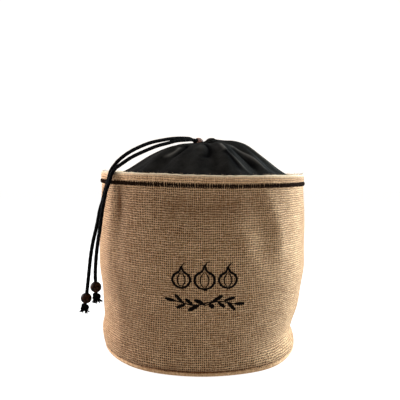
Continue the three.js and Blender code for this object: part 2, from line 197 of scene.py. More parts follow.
class Graph:
    """A material's nodes, built from expressions. Values are sockets or plain numbers."""

    def __init__(self, name):
        self.material = bpy.data.materials.new(name)
        self.material.use_nodes = True
        self.tree = self.material.node_tree
        self.shader = self.tree.nodes["Principled BSDF"]

    def add(self, kind, **settings):
        node = self.tree.nodes.new(kind)
        for key, value in settings.items():
            setattr(node, key, value)
        return node

    def join(self, value, socket):
        if isinstance(value, bpy.types.NodeSocket):
            self.tree.links.new(value, socket)
        else:
            socket.default_value = value

    def math(self, operation, *values, clamp=False):
        node = self.add("ShaderNodeMath", operation=operation, use_clamp=clamp)
        for value, socket in zip(values, node.inputs):
            self.join(value, socket)
        return node.outputs[0]

    def plus(self, a, b):
        return self.math("ADD", a, b)

    def times(self, a, b):
        return self.math("MULTIPLY", a, b)

    def times_plus(self, a, b, c, clamp=False):
        return self.math("MULTIPLY_ADD", a, b, c, clamp=clamp)

    def smooth(self, value, low, high):
        """From 0 to 1 as the value goes from low to high"""
        node = self.add("ShaderNodeMapRange", interpolation_type="SMOOTHSTEP")
        for name, v in (("Value", value), ("From Min", low), ("From Max", high)):
            self.join(v, node.inputs[name])
        return node.outputs["Result"]

    def vector(self, x, y, z=0.0):
        node = self.add("ShaderNodeCombineXYZ")
        for value, socket in zip((x, y, z), node.inputs):
            self.join(value, socket)
        return node.outputs[0]

    def noise(self, where, scale, detail, roughness=0.5):
        node = self.add("ShaderNodeTexNoise")
        self.join(where, node.inputs["Vector"])
        node.inputs["Scale"].default_value = scale
        node.inputs["Detail"].default_value = detail
        node.inputs["Roughness"].default_value = roughness
        return node.outputs["Fac"]

    def mix(self, factor, a, b, blend="MIX"):
        node = self.add("ShaderNodeMix", data_type="RGBA", blend_type=blend)
        for value, socket in zip((factor, a, b), (node.inputs[0], node.inputs[6], node.inputs[7])):
            self.join(value, socket)
        return node.outputs[2]

    def uv(self):
        node = self.add("ShaderNodeSeparateXYZ")
        self.join(self.add("ShaderNodeTexCoord").outputs["UV"], node.inputs[0])
        return node.outputs[0], node.outputs[1]

    def position(self):
        return self.add("ShaderNodeTexCoord").outputs["Object"]

    def attribute(self, name):
        return self.add("ShaderNodeAttribute", attribute_name=name).outputs["Fac"]

    def bump(self, height, distance, strength, normal=None):
        node = self.add("ShaderNodeBump")
        self.join(height, node.inputs["Height"])
        node.inputs["Distance"].default_value = distance
        self.join(strength, node.inputs["Strength"])
        if normal is not None:
            self.join(normal, node.inputs["Normal"])
        return node.outputs[0]

    def finish(self, colour, normal, **values):
        self.join(colour, self.shader.inputs["Base Color"])
        if normal is not None:
            self.join(normal, self.shader.inputs["Normal"])
        for name, value in values.items():
            self.join(value, self.shader.inputs[name.replace("_", " ")])
        return self.material


def rgb(red, green, blue):
    """A colour given in sRGB from 0 to 255, as linear RGBA"""
    def linear(c):
        return ((c / 255 + 0.055) / 1.055) ** 2.4 if c > 10 else c / 255 / 12.92
    return (linear(red), linear(green), linear(blue), 1.0)


def jute_material():
    """Plain weave of uneven jute yarns. The mesh's UVs are millimetres round and up the cloth.

    The mesh's "shade" is painted shade: it darkens the cloth beside its seams, inside the bag, under the rim,
    in its crease and on its sides where the lights fall strongest. Its gap fill closes the gaps where the hem
    is double and, as painted light, on the bag's sides. Along the fold over the rim the cloth gets pale fuzz
    with a painted highlight.
    """
    # The yarns' colours, and the gaps painted near black as painted shade: the unlit inside seen through them
    light, dark, hole_shade = rgb(255, 213, 166), rgb(166, 120, 80), rgb(12, 6, 3)
    # Gaps with cloth behind them painted dim brown as shade, the tint of painted shade, and pale fuzz as
    # highlight
    backed_hole_shade, shade_tint, fuzz_highlight_colour = rgb(52, 33, 19), rgb(150, 112, 72), rgb(255, 236, 204)
    g = Graph("woven jute")
    u, v = g.uv()
    cloth = g.vector(u, v)

    def stray(where, scale, detail, width):
        """How far a yarn strays to either side of its even place"""
        return g.times_plus(g.noise(where, scale, detail), width, -width / 2)

    uneven_u = g.plus(g.plus(u, stray(cloth, 0.07, 3, 1.5)), stray(g.vector(u, v, 4.0), 0.2, 1, 1.0))
    drift_v = stray(g.vector(v, u, 7.0), 0.06, 3, 1.9)
    uneven_v = g.plus(g.plus(v, drift_v), stray(g.vector(u, v, 12.0), 0.2, 1, 1.8))
    across = g.math("DIVIDE", uneven_u, WARP_PITCH)
    along = g.math("DIVIDE", uneven_v, WEFT_PITCH)
    warp = g.math("FLOOR", across)
    weft = g.math("FLOOR", along)
    a = g.math("SUBTRACT", g.math("FRACT", across), 0.5)
    b = g.math("SUBTRACT", g.math("FRACT", along), 0.5)
    odd = g.math("PINGPONG", g.plus(warp, weft), 1.0)
    side = g.times_plus(odd, 2.0, -1.0)

    def yarn(offset, index, place, run, sign, slim):
        """How high a yarn stands and how round it is there. Its twist runs along it."""
        slub = g.noise(g.vector(g.times(run, 0.11), index, 3.0), 1.0, 2)
        width = g.times_plus(slub, 0.3, slim)
        share = g.math("DIVIDE", offset, width)
        square = g.times(share, share)
        arch = g.math("SQRT", g.math("MAXIMUM", g.math("SUBTRACT", 1.0, square), 0.0))
        wave = g.times(g.math("COSINE", g.times(place, math.pi)), sign)
        lift = g.times_plus(wave, 0.35, g.times_plus(arch, 0.5, 0.35))
        height = g.times(g.smooth(arch, 0.0, 0.25), lift)
        strand = g.plus(g.times(run, 1.1), g.times(offset, 2.6))
        twist = g.math("SINE", g.times(strand, 2 * math.pi))
        stain = g.noise(g.vector(g.times(run, 0.07), g.times(index, 3.7), 8.0), 1.0, 2)
        return height, twist, stain

    backed_and_lit = g.attribute("backed_and_lit")
    weft_slim = g.times_plus(backed_and_lit, 0.3, 0.105)
    warp_height, warp_twist, warp_stain = yarn(a, warp, b, v, side, 0.085)
    weft_height, weft_twist, weft_stain = yarn(b, weft, a, u, g.times(side, -1.0), weft_slim)
    height = g.math("MAXIMUM", warp_height, weft_height)
    warp_on_top = g.math("GREATER_THAN", warp_height, weft_height)

    def of_top(warp_value, weft_value):
        return g.plus(g.times(warp_on_top, warp_value),
                      g.times(g.math("SUBTRACT", 1.0, warp_on_top), weft_value))

    warp_fibre = g.noise(g.vector(g.times(u, 9.0), g.times(v, 1.6), 1.0), 1.0, 3)
    weft_fibre = g.noise(g.vector(g.times(u, 1.6), g.times(v, 9.0), 2.0), 1.0, 3)
    fibre = g.times_plus(of_top(warp_twist, weft_twist), 0.1, of_top(warp_fibre, weft_fibre))
    tone = g.times_plus(g.math("SUBTRACT", of_top(warp_stain, weft_stain), 0.5), 2.2, 0.5)
    cloud = g.noise(cloth, 0.045, 3)
    spot = g.noise(cloth, 0.4, 3)
    pale = g.times_plus(tone, 0.5, g.times(fibre, 0.45))
    pale = g.plus(pale, g.times_plus(cloud, 0.4, g.times_plus(spot, 1.5, -1.0)))
    yarn_colour = g.mix(g.math("MINIMUM", g.math("MAXIMUM", pale, 0.0), 1.0), dark, light)
    gap = g.mix(backed_and_lit, hole_shade, backed_hole_shade)
    # Yarns lighter where the gaps are filled: at the double hem, and as painted light on the sides
    yarn_colour = g.mix(g.times(backed_and_lit, 0.15), yarn_colour, light)
    level = g.times_plus(backed_and_lit, 0.4, height)
    # Painted shade: each yarn darkens towards its edges and where it dips under the next one
    colour = g.mix(g.smooth(level, 0.2, 0.95), gap, yarn_colour)
    # Painted shade, multiplied in where the mesh's shade attribute is high
    shaded = g.mix(1.0, colour, shade_tint, "MULTIPLY")
    colour = g.mix(g.attribute("shade"), colour, shaded)
    # Pale fibre fuzz with a painted highlight along the fold over the rim
    fuzz_highlight = g.times(g.attribute("crest_fuzz_and_highlight"), g.smooth(fibre, 0.1, 0.55))
    colour = g.mix(fuzz_highlight, colour, fuzz_highlight_colour)
    relief = g.times_plus(fibre, 0.2, height)
    strength = g.times_plus(backed_and_lit, -0.5, 0.75)
    return g.finish(colour, g.bump(relief, 0.0008, strength), Roughness=0.95, Specular_IOR_Level=0.1,
                    Sheen_Weight=0.05, Sheen_Roughness=0.6)


def cotton_material():
    """Smooth matt black cotton with a fine weave and a little dust

    The mesh paints a highlight on the folds' ridges, and its "deep" is painted shade inside the folds and
    where the cover meets the rim.
    """
    g = Graph("black cotton")
    u, v = g.uv()
    threads = 12.0
    weave = g.times(g.math("SINE", g.times(u, threads)), g.math("SINE", g.times(v, threads)))
    cloth = g.vector(u, v)
    cloud = g.noise(cloth, 0.05, 4)
    slub = g.noise(g.vector(g.times(u, 0.15), g.times(v, 2.5)), 1.0, 3)
    dust = g.smooth(g.noise(cloth, 2.2, 2), 0.66, 0.78)
    tone = g.smooth(g.times_plus(cloud, 0.7, g.times(slub, 0.3)), 0.2, 0.8)
    colour = g.mix(tone, rgb(6, 6, 5), rgb(41, 40, 38))
    # Painted highlight on the folds' ridges
    colour = g.mix(g.attribute("ridge_highlight"), colour, rgb(104, 101, 96))
    # Painted shade in the folds and where the cover meets the rim
    colour = g.mix(g.attribute("deep"), colour, rgb(2, 2, 3))
    colour = g.mix(g.times(dust, 0.3), colour, rgb(62, 60, 56))
    height = g.times_plus(slub, 0.5, g.times(weave, 0.25))
    fine = g.bump(height, 0.0002, 0.5)
    crumple = g.noise(g.position(), 160.0, 3)
    return g.finish(colour, g.bump(crumple, 0.0012, 0.35, fine), Roughness=0.9, Specular_IOR_Level=0.03)


def cord_material():
    """Black braided cord. The UVs count strands round the cord and along it."""
    g = Graph("black cord")
    u, v = g.uv()
    one = g.math("SINE", g.times(g.plus(u, v), math.pi * 2))
    two = g.math("SINE", g.times(g.math("SUBTRACT", u, v), math.pi * 2))
    braid = g.math("MAXIMUM", one, two)
    fibre = g.noise(g.vector(g.times(u, 9.0), v), 1.0, 3)
    tone = g.times_plus(braid, 0.3, g.times(fibre, 0.7), clamp=True)
    colour = g.mix(tone, rgb(3, 3, 4), rgb(17, 17, 18))
    height = g.times_plus(fibre, 0.3, braid)
    return g.finish(colour, g.bump(height, 0.00025, 0.8), Roughness=0.8, Specular_IOR_Level=0.04)


def strand_material():
    """Loose black threads of the frayed ends"""
    g = Graph("frayed cord")
    fine = g.noise(g.position(), 1800.0, 2)
    colour = g.mix(fine, rgb(2, 2, 2), rgb(14, 13, 13))
    return g.finish(colour, None, Roughness=0.9, Specular_IOR_Level=0.04)


def wood_material(name, dark, light, shine):
    """Stained wooden bead with its grain along the bore"""
    g = Graph(name)
    u, v = g.uv()
    grain = g.noise(g.vector(g.times(u, 1.1), g.times(v, 0.14)), 1.0, 4, 0.6)
    ring = g.noise(g.position(), 420.0, 3)
    tone = g.smooth(g.times_plus(grain, 0.35, g.times(ring, 0.65)), 0.42, 0.6)
    pores = g.noise(g.vector(g.times(u, 5.0), g.times(v, 0.5)), 1.0, 2)
    pore = g.smooth(pores, 0.62, 0.7)
    colour = g.mix(pore, g.mix(tone, dark, light), rgb(18, 10, 7))
    height = g.times_plus(pore, -0.8, g.times(grain, 0.3))
    rough = g.times_plus(grain, 0.2, 0.42)
    return g.finish(colour, g.bump(height, 0.00015, 0.6), Roughness=rough, Specular_IOR_Level=shine)


def ink_material():
    """Black ink printed on the weave: the yarns show through where it is thin"""
    g = Graph("printed ink")
    u, v = g.uv()
    cloth = g.vector(u, v)
    across = g.math("SINE", g.times(u, 2 * math.pi / WARP_PITCH))
    along = g.math("SINE", g.times(v, 2 * math.pi / WEFT_PITCH))
    weave = g.times(across, along)
    thin = g.smooth(g.plus(g.noise(cloth, 1.1, 3), g.times(weave, 0.09)), 0.6, 0.74)
    colour = g.mix(g.times(thin, 0.6), rgb(11, 6, 4), rgb(58, 44, 31))
    return g.finish(colour, g.bump(weave, 0.0004, 0.7), Roughness=0.9, Specular_IOR_Level=0.05)


def stitch_material():
    """Dark brown sewing yarn"""
    g = Graph("dark stitching")
    fine = g.noise(g.position(), 900.0, 3)
    colour = g.mix(fine, rgb(14, 8, 4), rgb(48, 30, 18))
    return g.finish(colour, g.bump(fine, 0.0002, 0.6), Roughness=0.9, Specular_IOR_Level=0.02)


def hair_material():
    """Loose jute fibres that stand off the cloth"""
    g = Graph("jute fibres")
    fine = g.noise(g.position(), 300.0, 2)
    return g.finish(g.mix(fine, rgb(150, 122, 90), rgb(214, 190, 156)), None, Roughness=0.8)


# Meshes

def add_object(name, data):
    thing = bpy.data.objects.new(name, data)
    bpy.context.scene.collection.objects.link(thing)
    return thing


def mesh_piece(name, points, faces, material, uvs=None, replaces=(), smooth=True):
    """A mesh object that rides on the bag. uvs has a pair for each corner of each face."""
    mesh = bpy.data.meshes.new(name)
    mesh.from_pydata(points.tolist(), [], faces if isinstance(faces, list) else faces.tolist())
    if uvs is not None:
        layer = mesh.uv_layers.new(name="Cloth")
        layer.data.foreach_set("uv", np.asarray(uvs, np.float32).ravel())
    mesh.polygons.foreach_set("use_smooth", [smooth] * len(mesh.polygons))
    mesh.materials.append(material)
    mesh.update()
    piece = add_object(name, mesh)
    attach(piece, "root")
    if replaces:
        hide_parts(*replaces)
    return piece


def joined(parts):
    """The points and faces of several meshes as one"""
    points, faces, start = [], [], 0
    for part_points, part_faces in parts:
        points.append(part_points)
        faces += [[i + start for i in face] for face in part_faces]
        start += len(part_points)
    return np.vstack(points), faces


def grid_cells(rows, columns, closed_rows):
    """The row and the column of each quad of a grid"""
    row_steps = rows if closed_rows else rows - 1
    r, c = np.meshgrid(np.arange(row_steps), np.arange(columns), indexing="ij")
    return r.ravel(), c.ravel()


def grid_faces(rows, columns, closed_rows=False):
    """Quads of a grid that wraps round its columns, and its rows too if they close"""
    r, c = grid_cells(rows, columns, closed_rows)
    up, on = (r + 1) % rows, (c + 1) % columns
    return np.stack([r * columns + c, r * columns + on, up * columns + on, up * columns + c], 1)


def grid_uvs(rows, columns, around, along, closed_rows=False):
    """UV corners for grid_faces. around is the length of one turn, and along each row's place."""
    r, c = grid_cells(rows, columns, closed_rows)
    low, high = along[r], along[r + 1]
    left, right = c / columns * around, (c + 1) / columns * around
    return np.stack([np.stack([left, low], 1), np.stack([right, low], 1),
                     np.stack([right, high], 1), np.stack([left, high], 1)], 1)


def closed_sheet(name, points, around, along, material, node):
    """Rows of points joined both ways. around is the length of one turn, and along each row's place."""
    rows = len(along) - 1
    columns = len(points) // rows
    uvs = grid_uvs(rows, columns, around, along, True)
    return mesh_piece(name, points, grid_faces(rows, columns, True), material, uvs, [node])


def paint(piece, name, values):
    """Stores a number for each vertex, which the materials read"""
    layer = piece.data.attributes.new(name, "FLOAT", "POINT")
    layer.data.foreach_set("value", np.asarray(values, np.float32).ravel())


def full_turn(count):
    """Evenly spaced angles round a circle, in radians"""
    return np.arange(count) / count * 2 * math.pi


def hill(distance, width):
    """1 where the distance is 0, and less on both sides"""
    return np.exp(-((distance / width) ** 2))


def ramp(value, length):
    """From 0 to 1 as the value goes from 0 to the length"""
    return np.clip(value / length, 0, 1)


def turn_between(a, b):
    """The turn from b to a, from -180 to 180 degrees"""
    return (a - b + 180) % 360 - 180


def hill_round(azimuth, centre, width):
    """A hill on the way round the bag: azimuth in radians, centre and width in degrees"""
    return hill(turn_between(np.degrees(azimuth), centre), width)


def spline(x, table):
    """Smooth curve through the rows of a table whose first column is x"""
    table = np.asarray(table, float)
    xs, ys = table[:, 0], table[:, 1:]
    slopes = np.gradient(ys, xs, axis=0)
    x = np.clip(x, xs[0], xs[-1])
    i = np.clip(np.searchsorted(xs, x, side="right") - 1, 0, len(xs) - 2)
    h = xs[i + 1] - xs[i]
    t = ((x - xs[i]) / h)[..., None]
    h = h[..., None]
    return ((2 * t**3 - 3 * t**2 + 1) * ys[i] + (t**3 - 2 * t**2 + t) * h * slopes[i]
            + (3 * t**2 - 2 * t**3) * ys[i + 1] + (t**3 - t**2) * h * slopes[i + 1])


def lengths_along(steps):
    """How far along a line each of its points lies, from the lengths of its steps"""
    return np.concatenate([[0], np.cumsum(steps)])


def waves(azimuth, place, seed, octaves):
    """Smooth uneven surface between about -1 and 1 that closes round the bag"""
    local = np.random.default_rng(seed)
    total = np.zeros(np.broadcast(azimuth, place).shape)
    for turns, rate, size in octaves:
        for _ in range(4):
            phase, other = local.uniform(0, 2 * math.pi, 2)
            n = int(local.integers(max(1, turns // 2), turns + 1))
            climb = rate * local.uniform(0.6, 1.4) * place + other
            total += size / 4 * np.sin(n * azimuth + phase) * np.sin(climb)
    return total


def wall_radius(azimuth, height):
    """Outside radius of the bag at an azimuth in radians and a height in metres"""
    share = np.clip(height / BAG_HEIGHT, 0, 1)
    right, front, left, back = np.moveaxis(spline(share, WALL_SECTIONS), -1, 0)
    across, along = np.sin(azimuth), np.cos(azimuth)
    radius = np.where(across > 0, right, left) * across**2 + np.where(along > 0, front, back) * along**2
    degrees = np.degrees(azimuth)
    for centre, width, middle, tall, depth, lean in WALL_DENTS:
        above = share - middle
        around = hill(turn_between(degrees, centre + lean * above), width)
        radius = radius - depth * around * hill(above, tall)
    return radius * BAG_RADIUS


def tilt_at(x, height):
    """How much higher the bag is on its left, most at the rim"""
    return -RIM_TILT * x * height / (BAG_RADIUS * BAG_HEIGHT)


def sag_at(azimuth, height):
    """How far the front of the wall has slid down, most at the rim"""
    return RIM_SAG * hill_round(azimuth, 8, 26) * (height / BAG_HEIGHT) ** 6


def on_wall(azimuth, height, out):
    """Points on the wall, moved out from it"""
    radius = wall_radius(azimuth, height) + cloth_relief(azimuth, height) + out
    x, y = radius * np.sin(azimuth), -radius * np.cos(azimuth)
    return np.stack([x, y, height + tilt_at(x, height) - sag_at(azimuth, height)], -1)


def cloth_relief(azimuth, height):
    """The slack of the cloth between its dents, with the sharp crease at the upper left"""
    fade = ramp(SEAM_HEIGHT - height, 0.03) * ramp(height - 0.004, 0.02)
    crease = hill_round(azimuth, CREASE_AZIMUTH, 1.3) - 0.5 * hill_round(azimuth, CREASE_AZIMUTH - 6, 3.0)
    below = ramp(0.168 - height, 0.025)
    pinch = CREASE_DEPTH * crease * hill(height - CREASE_HEIGHT, 0.027)
    pinch = pinch - 0.0011 * hill_round(azimuth, CREASE_AZIMUTH - 0.5, 5) * below
    slack = waves(azimuth, height, 5, [(6, 40, 1.0), (14, 90, 0.7), (30, 160, 0.35)])
    return SLACK_DEPTH * fade * slack - fade * pinch


def wall_rows():
    """The wall's section: up its outside, over the rim and down its inside.

    Gives each row's distance inside the outer surface, and its height.
    """
    rows = [(0.0, z) for z in np.linspace(WALL_FOOT, SEAM_HEIGHT, 82)]
    rows += [(-HEM_FLARE * s, SEAM_HEIGHT + 0.3 * SEAM_BELOW_RIM * s) for s in (0.3, 0.7, 1.0)]
    rows += [(-HEM_FLARE, z) for z in np.linspace(SEAM_HEIGHT + 0.42 * SEAM_BELOW_RIM, RIM_FOOT, 3)]
    for angle in np.radians([25, 50, 70, 90, 110, 130, 155, 180]):
        inset = RIM_FOLD - HEM_FLARE - RIM_FOLD * math.cos(angle)
        rows.append((inset, RIM_FOOT + RIM_FOLD * math.sin(angle)))
    rows += [(HEM_THICKNESS, z) for z in np.linspace(SEAM_HEIGHT, HEM_FOOT, 4)]
    rows += [(JUTE, z) for z in np.linspace(HEM_FOOT - JUTE / 2, WALL_FOOT, 16)]
    return np.array(rows).T


def paint_wall(piece, az, z, inset):
    """The tones of the wall: painted shade at its seams, inside, under the rim, in its crease and on
    its sides; gaps filled where the hem is double and, as painted light, on its sides; pale fuzz
    with a painted highlight on the rim's fold
    """
    hem = ramp(z - SEAM_HEIGHT, 0.002)
    below_hem = z < SEAM_HEIGHT - 0.003
    facing = turn_between(np.degrees(az), 0)
    # Painted shade: in the groove at the wall's foot, inside the bag, under the rim, at the hem's right end,
    # as a dark line in the crease, and on the right and left sides where the lights fall strongest
    foot = (1 - ramp(z - WALL_FOOT, 0.0024)) * (0.1 + 0.7 * hill_round(az, -12, 24))
    inner = (inset > HEM_THICKNESS * 0.8) * 0.5
    shade_under_rim = 0.3 * hill_round(az, 8, 34) * hill(z / BAG_HEIGHT - 0.85, 0.07)
    hem_end_shade = 0.45 * hill_round(az, 72, 30) * hem
    crease = hill_round(az, CREASE_AZIMUTH - 1.5, 1.3) * hill(z - CREASE_HEIGHT + 0.001, 0.018)
    right = 0.36 * ramp(facing - 57, 15) * ramp(150 - facing, 40) * (z < SEAM_HEIGHT)
    left = 0.2 * hill_round(az, -48, 30) * below_hem
    shade = foot + inner + shade_under_rim + hem_end_shade + 0.6 * crease * below_hem + right + left
    paint(piece, "shade", np.clip(shade, 0, 1))
    # The gaps are filled as painted light on the sides, and at the hem where the cloth is double
    sides = 0.4 * hill(np.abs(facing) - 72, 24)
    paint(piece, "backed_and_lit", np.maximum(sides, 0.35 * hem))
    # Pale fuzz with a painted highlight along the fold over the rim
    paint(piece, "crest_fuzz_and_highlight", ramp(z - RIM_FOOT + 0.0015, 0.0033) ** 2)


def make_wall(material):
    """The burlap wall with its folded hem, one closed sheet of cloth with its thickness"""
    columns = 640
    inset, height = wall_rows()
    azimuth = full_turn(columns)
    az, z = np.meshgrid(azimuth, height)
    radius = wall_radius(az, z) + cloth_relief(az, z) - inset[:, None]
    lift = ramp(z - RIM_FOOT, RIM_FOLD) * (0.0005 * waves(az, z * 0, 8, [(24, 1, 1.0), (90, 1, 0.8)]))
    x, y = radius * np.sin(az), -radius * np.cos(az)
    points = np.stack([x, y, z + lift + tilt_at(x, z) - sag_at(az, z)], -1).reshape(-1, 3)
    steps = np.hypot(np.diff(inset), np.diff(height)) * 1000
    along = lengths_along(np.append(steps, JUTE * 1000))
    piece = closed_sheet("jute_wall", points, WARP_COUNT * WARP_PITCH, along, material, "jute_side")
    paint_wall(piece, az, z, inset[:, None])


def make_base(material):
    """The flat panel and the rolled edge round it, sewn together as one piece of cloth"""
    columns = 480
    inner, outer = BAG_RADIUS - WELT_WIDTH, BAG_RADIUS + WELT_REACH
    middle = (outer + inner + 0.6 * WELT_WIDTH) / 2
    half = outer - middle
    rows = [(r, 0.0) for r in np.linspace(0.0004, inner, 26)]
    for angle in np.radians(np.linspace(-90, 90, 15)):
        rows.append((middle + half * math.cos(angle), WELT_HEIGHT * (0.5 + 0.5 * math.sin(angle))))
    rows += [(inner + 0.2 * WELT_WIDTH, WELT_HEIGHT), (inner, JUTE)]
    rows += [(r, JUTE) for r in np.linspace(inner * 0.96, 0.0004, 12)]
    radius, height = np.array(rows).T
    azimuth = full_turn(columns)
    az, r = np.meshgrid(azimuth, radius)
    z = np.broadcast_to(height[:, None], az.shape)
    up = ramp(z, WELT_HEIGHT)
    roll = up * (1 - up) * 4 * (r > middle)
    place = r / BAG_RADIUS * wall_radius(az, z * 0)
    place = place + roll * 0.00025 * waves(az, z, 3, [(60, 1, 1.0), (170, 1, 0.8)])
    points = np.stack([place * np.sin(az), -place * np.cos(az), z], -1).reshape(-1, 3)
    faces = grid_faces(len(rows), columns, True)
    flat = points[faces][:, :, :2] * 1000
    along = np.append(radius, radius[0]) * 1000 + np.append(height, 0) * 1000
    around = grid_uvs(len(rows), columns, WARP_COUNT * WARP_PITCH, along, True)
    on_welt = (np.abs(radius[faces // columns]).min(1) > inner * 1.001)[:, None, None]
    uvs = np.where(on_welt, around, flat)
    piece = mesh_piece("jute_bottom", points, faces, material, uvs, ["jute_base", "base_welt"])
    # Painted shade along the top of the rolled edge, in the groove under the wall
    top = ramp(z - 0.62 * WELT_HEIGHT, 0.3 * WELT_HEIGHT)
    paint(piece, "shade", top * (0.3 + 0.7 * hill_round(az, -2, 26)))
    paint(piece, "backed_and_lit", 0.7 + 0 * z)
    paint(piece, "crest_fuzz_and_highlight", 0 * z)


def fold_at(azimuth):
    """How deep the cover's folds are on the way round, as a share of FOLD_DEPTH"""
    return sum(depth * hill_round(azimuth, centre, width) for centre, width, depth in COVER_FOLDS)


def crease_at(x, y):
    """How far the fine creases move the cover down at a place in plan, with the painted highlight on their
    ridges and the painted shade in their valleys
    """
    flat = np.stack([x, y], -1).reshape(-1, 2) * 1000
    down, ridge_highlight, deep = np.zeros(len(flat)), np.zeros(len(flat)), np.zeros(len(flat))
    for width, depth, route in COVER_CREASES:
        line, _ = smooth_route(route, 40)
        near = np.full(len(flat), 1e9)
        share = np.zeros(len(flat))
        for i in range(len(line) - 1):
            a, b = line[i], line[i + 1]
            k = np.clip((flat - a) @ (b - a) / ((b - a) @ (b - a)), 0, 1)
            gap = np.linalg.norm(flat - a - k[:, None] * (b - a), axis=1)
            share = np.where(gap < near, (i + k) / (len(line) - 1), share)
            near = np.minimum(gap, near)
        fade = ramp(share, 0.15) * ramp(1 - share, 0.3)
        here = hill(near, width) * fade
        down += depth * here
        if depth > 0:
            edge = ramp(share, 0.04) * ramp(1 - share, 0.25)
            deep = np.maximum(deep, min(1, 0.7 + depth / 5) * hill(near, 1.5 * width) * edge)
        else:
            # Ridges get a painted highlight
            ridge_highlight = np.maximum(ridge_highlight, (0.65 if width < 2.5 else 0.15) * here)
    return [values.reshape(x.shape) for values in (down / 1000, ridge_highlight, deep)]


def make_cover(material):
    """The gathered cover, from the hem up to the mouth and back down its underside

    A place on its section is a ring's number in COVER_RINGS, or lies between two rings.
    """
    columns = 600
    table = np.array([(i, *ring) for i, ring in enumerate(COVER_RINGS)], float)
    outer = np.concatenate([np.linspace(0, 2, 8)[:-1], np.linspace(2, 11, 70), np.linspace(11, 15, 24)[1:]])
    under = np.linspace(14.6, 0, 26)
    place = np.concatenate([outer, under])
    is_under = np.concatenate([np.zeros(len(outer)), np.ones(len(under))])
    ring_place = place[:, None]
    reach, rise, shift, pleat, fold, hump, to_mouth, inwards = spline(place, table).T[:, :, None]
    azimuth = full_turn(columns)
    az = np.broadcast_to(azimuth, (len(place), columns))
    height = SEAM_HEIGHT + rise * COVER_RISE
    skirt = wall_radius(az, height + 0 * az) - HEM_THICKNESS - CLEARANCE
    bent = az + 0.05 * np.sin(2 * az + 1) + 0.035 * np.sin(5 * az + 2) + 0.02 * np.sin(9 * az)
    pleats = np.cos(PLEAT_COUNT * bent) + 0.45 * np.cos(2.0 * PLEAT_COUNT * bent + 1)
    thin = is_under[:, None] * COTTON
    radius = GATHER_RADIUS + reach * (skirt - GATHER_RADIUS) - inwards + pleat * PLEAT_DEPTH * pleats - thin
    x = radius * np.sin(az) + (1 - to_mouth) * shift * BAG_RADIUS + to_mouth * MOUTH[0]
    y = -radius * np.cos(az) + to_mouth * MOUTH[1]
    hump_here = hill_round(az, 95, 62)
    uneven = waves(az, ring_place + 0 * az, 21, [(26, 0.8, 1.0), (60, 1.4, 0.7)])
    fine = np.clip(fold, 0, 1) * 0.0007 * uneven
    z = height + hump * HUMP_RISE * hump_here - fold * FOLD_DEPTH * fold_at(az) + fine
    z = z - thin * (rise > 0.1) + 0 * az
    z = z + tilt_at(x, SEAM_HEIGHT)
    down, ridge_highlight, deep = crease_at(x, y + 0 * az)
    above_hem = ramp(ring_place - 2, 1.5)
    on_slope = above_hem * ramp(9.8 - ring_place, 1.5)
    z = z - down * on_slope
    points = np.stack([x, y, z], -1).reshape(-1, 3)
    steps = np.linalg.norm(np.diff(np.stack([x, y, z], -1)[:, 0], axis=0), axis=1) * 1000
    along = lengths_along(np.append(steps, COTTON * 1000))
    around = COVER_CUT[0] * 1000
    piece = closed_sheet("cotton_top", points, around, along, material, "cotton_cover")
    painted = above_hem * ramp(11.5 - ring_place, 1)
    # Painted highlight on the creases' ridges, painted shade in their valleys and where the cover meets the
    # rim
    paint(piece, "ridge_highlight", ridge_highlight * painted)
    shade_under_rim = 0.5 * hill(ring_place - 2, 1.7)
    paint(piece, "deep", np.maximum(deep * painted, shade_under_rim))


# Cords, beads and knots

def between(t, low, high, a, b):
    """From a to b as t goes from low to high"""
    return (high - t) / (high - low) * a + (t - low) / (high - low) * b


def smooth_route(points, count):
    """Evenly spaced points on a centripetal Catmull-Rom curve, as the solids' cords follow"""
    p = np.asarray(points, float)
    p = np.vstack([2 * p[0] - p[1], p, 2 * p[-1] - p[-2]])
    out = []
    for i in range(len(p) - 3):
        level = p[i:i + 4]
        knots = lengths_along([np.linalg.norm(step) ** 0.5 for step in np.diff(level, axis=0)])
        t = np.linspace(knots[1], knots[2], 24, endpoint=False)[:, None]
        for reach in (1, 2):
            level = [between(t, knots[j], knots[j + reach], level[j], level[j + 1]) for j in range(4 - reach)]
        out.append(between(t, knots[1], knots[2], *level))
    dense = np.vstack(out + [p[-2:-1]])
    length = lengths_along(np.linalg.norm(np.diff(dense, axis=0), axis=1))
    even = np.linspace(0, length[-1], count)
    return np.stack([np.interp(even, length, values) for values in dense.T], 1), length[-1]


def tangents(line):
    """The direction of a line at each of its points"""
    step = np.gradient(line, axis=0)
    return step / np.linalg.norm(step, axis=1)[:, None]


def frames_along(line):
    """Two directions across a line at each of its points, that turn as little as possible"""
    tangent = tangents(line)
    side = np.cross(tangent[0], [0, 0, 1.0])
    if np.linalg.norm(side) < 1e-3:
        side = np.cross(tangent[0], [1.0, 0, 0])
    sides = []
    for t in tangent:
        side = side - side.dot(t) * t
        side = side / np.linalg.norm(side)
        sides.append(side)
    sides = np.array(sides)
    return sides, np.cross(tangent, sides)


def tube(line, radius, sides):
    """Points and faces of a capped tube. radius is one number, one for each point, or a grid."""
    n, b = frames_along(line)
    angle = full_turn(sides)
    if np.ndim(radius) < 2:
        radius = np.reshape(radius, (-1, 1))
    radius = np.broadcast_to(radius, (len(line), sides))
    ring = n[:, None] * np.cos(angle)[None, :, None] + b[:, None] * np.sin(angle)[None, :, None]
    points = (line[:, None] + ring * radius[..., None]).reshape(-1, 3)
    faces = grid_faces(len(line), sides).tolist()
    faces.append(list(range(sides))[::-1])
    faces.append([(len(line) - 1) * sides + i for i in range(sides)])
    return points, faces


